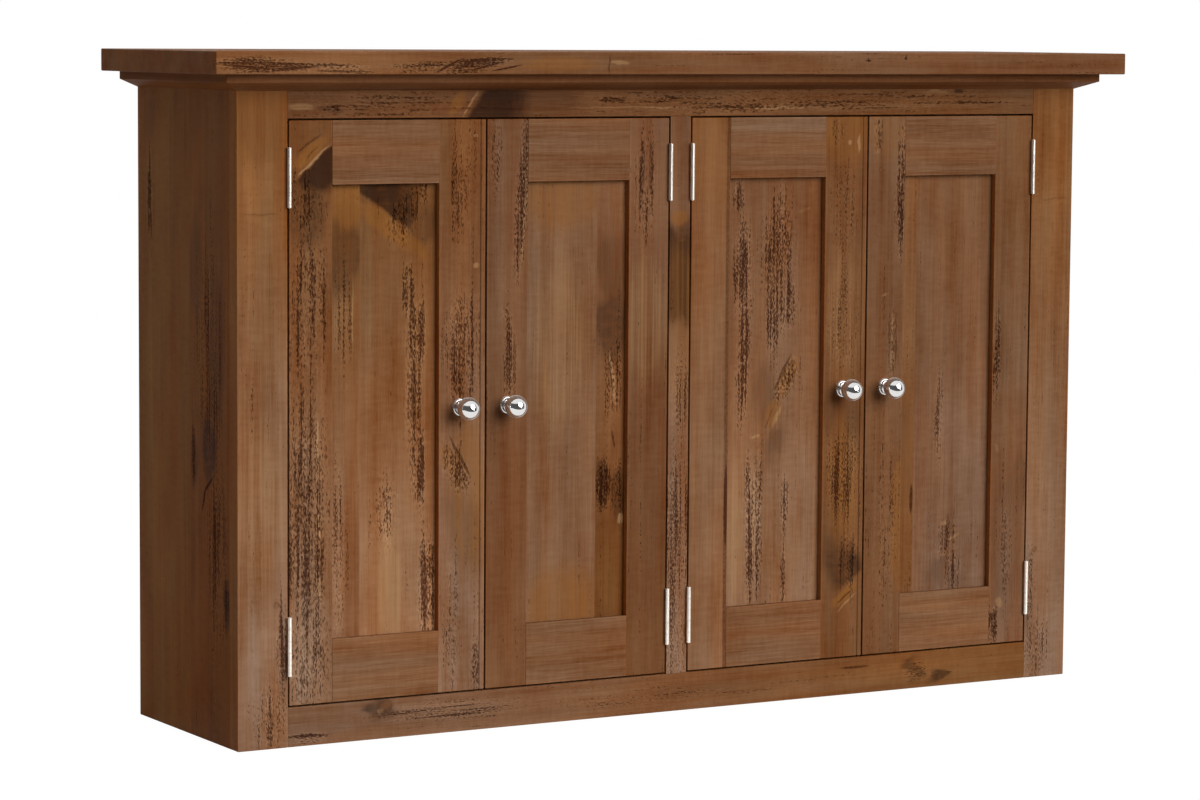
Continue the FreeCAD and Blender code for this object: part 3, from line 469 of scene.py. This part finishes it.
# The doors are framed: two stiles, two rails and a flat panel in grooves, flush with the face frame.
# Every board is its own piece of pine, so each has the tones and marks of its board in the photograph.
doors = ("door_1", "door_2", "door_3", "door_4")
door_boards = {
    "door_1_hinge_stile": (
        "8A6348",
        "744A2B",
        [
            ("warm", -468, 650, 34, 11, 42, 1.0),
            ("crack", -470, 660, 26, 1.8, 36, 0.6),
            ("crack", -466, 650, 16, 1.4, 46, 0.5),
            ("pale", -464, 641, 34, 2, 42, 1.0),
            ("stain", -462, 641, 46, 44, 222, 1.7),
            ("cloud", -474, 590, 36, 60, 0, 0.75),
            ("cloud", -474, 470, 36, 130, 0, 0.3),
            ("torn", -474, 592, 32, 60, 0, 0.75),
            ("torn", -473, 476, 36, 120, 0, 0.95),
            ("torn", -475, 256, 42, 190, 0, 0.9),
            ("torn", -473, 110, 42, 110, 0, 0.8),
            ("pale", -460, 322, 2, 46, 0, 0.9),
            ("pale", -457, 242, 3, 18, 0, 0.9),
            ("pale", -458, 172, 3, 18, 0, 0.9),
        ],
    ),
    "door_1_meeting_stile": (
        "88654E",
        "794E2F",
        [
            ("torn", -282, 608, 24, 110, 0, 0.4),
            ("torn", -280, 428, 30, 90, 0, 1.05),
            ("pale", -265, 667, 3, 3, 0, 0.9),
            ("pale", -263, 523, 6, 4, 20, 0.7),
            ("warm", -292, 302, 16, 38, 28, 0.8),
            ("crack", -284, 310, 3, 36, 30, 0.8),
            ("cloud", -298, 312, 8, 30, 28, 0.6),
            ("torn", -290, 298, 18, 42, 28, 1.15),
            ("warm", -273, 265, 34, 130, 0, 0.75),
            ("cloud", -278, 226, 30, 70, 10, 0.7),
            ("torn", -294, 117, 12, 120, 0, 0.7),
            ("torn", -264, 74, 10, 40, 0, 0.9),
        ],
    ),
    "door_2_meeting_stile": (
        "764E33",
        "755038",
        [
            ("crack", -203, 652, 3, 46, -3, 0.55),
            ("crack", -208, 567, 4, 70, -5, 0.55),
            ("torn", -206, 600, 12, 120, -4, 1.2),
            ("pale", -203, 580, 3, 80, -4, 0.7),
            ("torn", -240, 640, 12, 60, 0, 0.8),
            ("torn", -229, 468, 8, 12, 0, 0.8),
            ("crack", -225, 415, 3, 48, 0, 0.6),
            ("crack", -216, 413, 3, 42, 0, 0.6),
            ("torn", -221, 415, 12, 60, 0, 1.1),
        ],
    ),
    "door_2_hinge_stile": (
        "6E472C",
        "775139",
        [
            ("crack", -50, 632, 3, 46, 0, 0.7),
            ("crack", -40, 632, 3, 46, 0, 0.7),
            ("torn", -45, 610, 18, 90, 0, 0.85),
            ("cloud", -45, 610, 14, 60, 0, 0.4),
            ("pale", -45, 455, 44, 110, 0, 0.45),
        ],
    ),
    "door_3_hinge_stile": (
        "886044",
        "7F5537",
        [
            ("warm", 44, 650, 46, 110, 0, 0.5),
            ("crack", 65, 330, 4.5, 900, 0, 0.62),
            ("crack", 65, 236, 4, 70, 0, 1.1),
        ],
    ),
    "door_3_meeting_stile": (
        "734B2E",
        "7A4F31",
        [
            ("cloud", 226, 690, 60, 60, 0, 0.35),
            ("warm", 226, 672, 48, 60, 0, 0.75),
            ("torn", 214, 670, 18, 24, 0, 0.7),
            ("torn", 224, 570, 24, 90, 0, 0.6),
            ("pale", 233, 655, 3, 4, 0, 0.9),
            ("pale", 246, 654, 3, 14, 0, 0.9),
            ("torn", 227, 440, 34, 90, 0, 0.55),
            ("pale", 226, 455, 46, 110, 0, 0.42),
            ("cloud", 228, 330, 38, 46, 0, 0.6),
            ("torn", 229, 265, 34, 80, 0, 1.05),
            ("warm", 226, 255, 34, 110, 0, 0.6),
            ("stain", 242, 136, 36, 90, 34, 1.0),
            ("torn", 236, 165, 20, 50, 0, 0.9),
            ("warm", 232, 120, 30, 9, 36, 1.0),
            ("crack", 232, 118, 20, 1.5, 38, 0.7),
            ("pale", 236, 112, 24, 2, 40, 0.8),
        ],
    ),
    "door_4_meeting_stile": (
        "755036",
        "765138",
        [
            ("warm", 284, 668, 40, 50, 0, 0.5),
            ("crack", 306, 586, 3, 84, -2, 0.5),
            ("torn", 306, 600, 12, 110, -2, 1.1),
            ("torn", 272, 665, 10, 34, 0, 0.9),
            ("knot", 277, 623, 4, 5, 0, 0.9),
            ("pale", 284, 474, 8, 3, 20, 0.5),
            ("crack", 291, 418, 3, 48, 0, 0.55),
            ("crack", 300, 418, 3, 48, 0, 0.55),
            ("pale", 295, 418, 3, 54, 0, 0.45),
            ("torn", 296, 418, 12, 54, 0, 0.8),
            ("torn", 290, 200, 24, 120, 0, 0.5),
            ("warm", 305, 200, 10, 120, 0, 0.9),
        ],
    ),
    "door_4_hinge_stile": (
        "7B563E",
        "765034",
        [
            ("torn", 449, 397, 8, 70, 0, 1.1),
            ("cloud", 455, 400, 16, 80, 0, 0.35),
            ("pale", 450, 284, 5, 8, 20, 0.5),
            ("cloud", 467, 172, 34, 130, 0, 0.5),
            ("cloud", 484, 240, 14, 60, 0, 0.55),
            ("torn", 464, 170, 16, 80, 0, 0.7),
            ("pale", 457, 95, 8, 9, 20, 0.55),
            ("torn", 449, 72, 10, 30, 0, 1.2),
        ],
    ),
}
# The stiles at the right of a panel have a brighter orange inner edge: painted light that lifts the recess
# wall's shade.
recess_wall_painted_light = (None, "A26335", "A26335", ())
painted_light_reach = 0.4
right_of_panel = (
    "door_1_meeting_stile",
    "door_2_hinge_stile",
    "door_3_meeting_stile",
    "door_4_hinge_stile",
)
for board, stave in door_boards.items():
    if board in right_of_panel:
        past_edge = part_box(board)[0][0] * 1000 + painted_light_reach
        stained_pine(board, "Z", recess_wall_painted_light, (past_edge, *stave))
    else:
        stained_pine(board, "Z", (None, *stave))
    eased(board)

# The rails are clean boards with strong grain lines, like each other on all four doors.
rail_lines = 1.7
rail_arris = 0.6
for door in doors:
    stained_pine(door + "_top_rail", "X", (None, "7C553A", "7A543A", ()), lines=rail_lines)
    stained_pine(door + "_bottom_rail", "X", (None, "7D563B", "7E5539", ()), lines=rail_lines)
    eased(door + "_top_rail", width=rail_arris)
    eased(door + "_bottom_rail", width=rail_arris)

# Three of the panels are glued up from two staves, and the line between them shows.
stained_pine(
    "door_1_panel",
    "Z",
    (
        None,
        "8A6044",
        "7E5330",
        [
            ("warm", -420, 592, 26, 36, 0, 1.0),
            ("cloud", -423, 540, 36, 66, 0, 0.85),
            ("pale", -413, 470, 2, 56, 0, 0.7),
            ("torn", -424, 470, 14, 70, 0, 0.7),
            ("torn", -432, 220, 14, 150, 0, 0.9),
        ],
    ),
    (
        -405,
        "966B4C",
        "7A502F",
        [
            ("stain", -376, 584, 56, 66, -35, 1.4),
            ("torn", -350, 580, 26, 46, -25, 0.95),
            ("warm", -368, 566, 80, 15, -35, 1.0),
            ("cloud", -326, 566, 26, 44, -35, 0.65),
            ("torn", -328, 604, 9, 20, 0, 1.0),
            ("torn", -345, 496, 12, 44, 0, 1.2),
            ("torn", -335, 443, 17, 60, 0, 1.15),
            ("crack", -338, 380, 4, 60, 0, 0.8),
            ("torn", -338, 372, 15, 80, 0, 1.3),
            ("torn", -334, 306, 14, 70, 0, 1.3),
            ("crack", -324, 160, 5, 60, 0, 0.9),
            ("torn", -320, 163, 16, 84, 0, 1.5),
            ("torn", -373, 254, 20, 60, 0, 0.9),
            ("pale", -367, 165, 24, 100, 0, 0.7),
        ],
    ),
)
stained_pine(
    "door_2_panel",
    "Z",
    (
        None,
        "815A3F",
        "7D5940",
        [
            ("warm", -150, 600, 70, 60, 0, 0.7),
            ("pale", -155, 430, 50, 140, 0, 0.5),
            ("warm", -150, 130, 70, 70, 0, 0.8),
        ],
    ),
    (
        -105,
        "704423",
        "80563A",
        [
            ("cloud", -85, 520, 32, 60, 0, 0.6),
            ("cloud", -86, 452, 34, 60, 0, 0.85),
            ("crack", -86, 390, 1.6, 34, 8, 0.7),
            ("pale", -83, 388, 3, 40, 8, 0.9),
            ("torn", -82, 385, 16, 60, 0, 1.0),
            ("crack", -82, 318, 2, 14, 15, 0.7),
            ("cloud", -97, 268, 14, 36, 0, 0.9),
            ("torn", -96, 266, 16, 40, 0, 1.3),
            ("cloud", -74, 252, 14, 40, 0, 0.8),
            ("torn", -78, 262, 14, 40, 0, 0.8),
            ("pale", -72, 228, 5, 9, -20, 0.9),
            ("warm", -85, 167, 30, 70, 0, 0.4),
        ],
    ),
)
stained_pine(
    "door_3_panel",
    "Z",
    (
        None,
        "8D674C",
        "7D5337",
        [
            ("torn", 84, 590, 12, 24, 0, 1.2),
            ("torn", 90, 510, 18, 80, 0, 1.2),
            ("torn", 140, 530, 30, 100, 0, 1.0),
            ("pale", 175, 576, 12, 4, 20, 0.4),
            ("torn", 93, 418, 13, 120, -2, 1.25),
            ("torn", 134, 458, 16, 70, 0, 1.2),
            ("torn", 152, 472, 20, 54, 0, 1.1),
            ("warm", 153, 380, 14, 36, -28, 0.9),
            ("crack", 146, 386, 3, 34, -28, 0.8),
            ("torn", 152, 378, 15, 38, -28, 1.15),
            ("cloud", 120, 366, 22, 50, 0, 0.6),
            ("pale", 110, 314, 8, 3, 20, 0.8),
            ("cloud", 137, 304, 18, 32, -15, 0.6),
            ("warm", 134, 340, 14, 26, -20, 0.9),
            ("crack", 128, 332, 1.6, 22, -25, 0.5),
            ("pale", 140, 336, 4, 20, -25, 0.8),
            ("torn", 103, 203, 9, 130, 0, 1.25),
            ("torn", 115, 203, 8, 130, 0, 1.1),
            ("pale", 109, 215, 2, 90, 0, 0.7),
            ("torn", 151, 231, 7, 60, 0, 0.85),
            ("torn", 151, 147, 6, 50, 0, 0.9),
            ("pale", 83, 196, 16, 120, 0, 0.6),
        ],
    ),
)
stained_pine(
    "door_4_panel",
    "Z",
    (
        None,
        "7A4F2E",
        "82593A",
        [("crack", 331, 228, 3, 24, 0, 0.9), ("cloud", 322, 285, 20, 100, 0, 0.4)],
    ),
    (
        334,
        "805C45",
        "7A5135",
        [
            ("torn", 370, 320, 10, 80, 0, 0.9),
            ("cloud", 384, 186, 20, 30, -20, 0.4),
            ("torn", 384, 180, 18, 36, -25, 0.85),
            ("pale", 380, 197, 8, 4, 20, 0.6),
            ("pale", 394, 178, 14, 3, 32, 0.6),
            ("torn", 393, 140, 13, 44, 0, 0.95),
            ("cloud", 380, 135, 44, 24, 0, 0.55),
        ],
    ),
)


# The hinges are plain steel butts, let into the edges of stile and door so that only the barrels show.
# They are bright zinc plate, brushed along the barrel, and the screws and pins are of the same steel.
def bright_metal(name, tone, roughness, lines):
    """Plated metal with faint brushing: lines is the length and width of a brush mark in mm."""
    material, tree, shader = new_material(name)
    here = added(tree, "TexCoord")["Object"]
    length, width = lines
    stretch = (1000 / width, 1000 / width, 1000 / length)
    brush = added(tree, "Mapping", {0: here, "Scale": stretch})[0]
    brush = added(tree, "TexNoise", {"Vector": brush, "Scale": 1, "Detail": 2})[0]
    smear_width = 9
    smear = added(tree, "TexNoise", {"Vector": here, "Scale": 1000 / smear_width, "Detail": 2})[0]
    shade = added(tree, "Math", {0: smear, 1: 0.2, 2: 0.88}, operation="MULTIPLY_ADD")[0]
    colour = added(tree, "VectorMath", {0: linear(tone)[:3], "Scale": shade}, operation="SCALE")[0]
    tree.links.new(colour, shader.inputs["Base Color"])
    rough = {0: brush, 1: 0.3, 2: 0.7, 3: roughness * 0.7, 4: roughness * 1.3}
    rough = added(tree, "MapRange", rough)[0]
    tree.links.new(rough, shader.inputs["Roughness"])
    shader.inputs["Metallic"].default_value = 1
    bump = added(tree, "Bump", {"Strength": 0.3, "Distance": 0.00005, "Height": brush})[0]
    tree.links.new(bump, shader.inputs["Normal"])
    return material


# Zinc plate gives the eye a pale, soft streak of light down each barrel.
# Real brush marks are much finer, and are drawn coarser here so that they show.
zinc_brush = (12, 0.5)
plate = bright_metal("zinc_plated_steel", "F4EADF", 0.4, zinc_brush)
steel_nodes = ["hinge_frame_leaves", "hinge_pins", "hinge_frame_screws", "shelf_pins"]
for door in doors:
    steel_nodes += [door + "_hinge_leaves", door + "_screws", door + "_strike_plate"]
for node in steel_nodes:
    dressed(node, plate)


# The knobs are turned brass, polished and chromed: a ball on a short coved neck and a round foot.
# Each is held by a machine screw from behind the stile.
# Chrome gives the eye a sharp mirror of the studio and the door, with a faint light rim.
polish_marks = (6, 6)
chrome = bright_metal("polished_chrome", "E4E3E1", 0.07, polish_marks)
polish = chrome.node_tree.nodes["Principled BSDF"]
polish.inputs["Sheen Weight"].default_value = 1.0
polish.inputs["Sheen Roughness"].default_value = 0.5
for door in doors:
    dressed(door + "_knob", chrome)


# The magnetic catches are moulded brown plastic cases behind the top rail, one twin catch to a bay.
# The plastic gives the eye a dull dark brown with a fine grit from the mould.
# Real grit is finer, and is drawn coarser here so that it shows.
case, tree, shader = new_material("moulded_brown_plastic")
here = added(tree, "TexCoord")["Object"]
grit_width = 0.8
grit = added(tree, "TexNoise", {"Vector": here, "Scale": 1000 / grit_width, "Detail": 2})[0]
shade = added(tree, "Mix", {0: grit, 6: linear("3A2418"), 7: linear("4A3022")}, data_type="RGBA")[2]
tree.links.new(shade, shader.inputs["Base Color"])
rough = added(tree, "MapRange", {0: grit, 1: 0.3, 2: 0.7, 3: 0.4, 4: 0.55})[0]
tree.links.new(rough, shader.inputs["Roughness"])
shader.inputs["Specular IOR Level"].default_value = 0.2
bump = added(tree, "Bump", {"Strength": 0.3, "Distance": 0.0001, "Height": grit})[0]
tree.links.new(bump, shader.inputs["Normal"])
dressed("magnet_catches", case)


# The studio has a small floor of white paper, which keeps a faint shadow, and a white world.
# The key light comes like sun from the upper right, evenly over the long front, and a weaker one
# lights the back. The room behind the camera is darker, and polished metal shows it.
floor_width = 4.4
floor_depth = 2.8
floor_shift = 0.5
bpy.ops.mesh.primitive_plane_add(size=1)
floor = bpy.context.object
floor.name = "floor"
floor_size = Matrix.Diagonal((floor_width, floor_depth, 1, 1))
floor.data.transform(Matrix.Translation((0, floor_shift, 0)) @ floor_size)
# The paper gives the eye a white that runs into the background, as under strong light.
paper_glow = 1.2
glow_share = 0.8
paper, tree, shader = new_material("white_paper_floor")
shader.inputs["Base Color"].default_value = linear("B2B0AD")
shader.inputs["Roughness"].default_value = 0.9
rays = added(tree, "LightPath")
seen = added(tree, "Math", {0: rays["Is Camera Ray"], 1: rays["Is Glossy Ray"]}, operation="MAXIMUM")[0]
seen = added(tree, "Math", {0: seen, 1: rays["Is Transmission Ray"]}, operation="MAXIMUM")[0]
seen = added(tree, "Math", {0: seen, 1: glow_share}, operation="MULTIPLY")[0]
glow = added(tree, "Emission", {0: (1, 1, 1, 1), 1: paper_glow})[0]
both = added(tree, "MixShader", {0: seen, 1: shader.outputs[0], 2: glow})[0]
tree.links.new(both, tree.nodes["Material Output"].inputs[0])
floor.data.materials.append(paper)

# The world is white to the camera and dim and even to matt things. Metal sees a room with a bright ceiling.
even_light = 0.17
wall_light = 0.08
room_behind = (-0.3, -0.95, 0)
world = bpy.data.worlds.new("white_studio")
bpy.context.scene.world = world
world.use_nodes = True
tree = world.node_tree
rays = added(tree, "LightPath")
seen = {0: rays["Is Camera Ray"], 1: rays["Is Transmission Ray"]}
seen = added(tree, "Math", seen, operation="MAXIMUM")[0]
aim = added(tree, "TexCoord")["Generated"]
ceiling = added(tree, "SeparateXYZ", {0: aim})[2]
ceiling = added(tree, "MapRange", {0: ceiling, 1: 0.5, 2: 0.62, 3: wall_light, 4: 1.0})[0]
behind = added(tree, "VectorMath", {0: aim, 1: room_behind}, operation="DOT_PRODUCT")[1]
behind = added(tree, "MapRange", {0: behind, 1: 0.35, 2: 0.05, 3: 0.0, 4: 1.0})[0]
room = added(tree, "Math", {0: ceiling, 1: behind}, operation="MAXIMUM")[0]
level = added(tree, "Mix", {0: rays["Is Glossy Ray"], 2: even_light, 3: room})[0]
level = added(tree, "Mix", {0: seen, 2: level, 3: 1.0})[0]
tree.links.new(level, tree.nodes["Background"].inputs["Strength"])
tree.nodes["Background"].inputs["Color"].default_value = (1, 1, 1, 1)

# A lamp has a name, the way that its light goes, its strength and its spread in degrees.
lamps = (
    ("key", (-0.32, 0.86, -0.36), 2.75, 44),
    ("back", (0, -0.8, -0.6), 1.2, 30),
)
for name, aim, strength, spread in lamps:
    lamp = bpy.data.lights.new(name, "SUN")
    lamp.energy = strength
    lamp.angle = math.radians(spread)
    stand = bpy.data.objects.new(name, lamp)
    stand.rotation_euler = Vector(aim).to_track_quat("-Z", "Y").to_euler()
    bpy.context.scene.collection.objects.link(stand)

# The camera stands low to the left, a long way off, as the converging edges in the photograph show.
# Place in metres, angles in degrees and lens in mm come from a fit to the corners in the photograph.
camera_place = (-2.3132, -3.9278, 0.7886)
turned_right = 30.06
tipped_down = 5.475
rolled = 0.4
camera = bpy.data.objects.new("camera", bpy.data.cameras.new("camera"))
bpy.context.scene.collection.objects.link(camera)
bpy.context.scene.camera = camera
camera.data.sensor_width = 36
camera.data.lens = 117
camera.matrix_world = (
    Matrix.Translation(camera_place)
    @ Matrix.Rotation(math.radians(-turned_right), 4, "Z")
    @ Matrix.Rotation(math.radians(90 - tipped_down), 4, "X")
    @ Matrix.Rotation(math.radians(rolled), 4, "Z")
)
bpy.context.scene.view_settings.view_transform = "Standard"
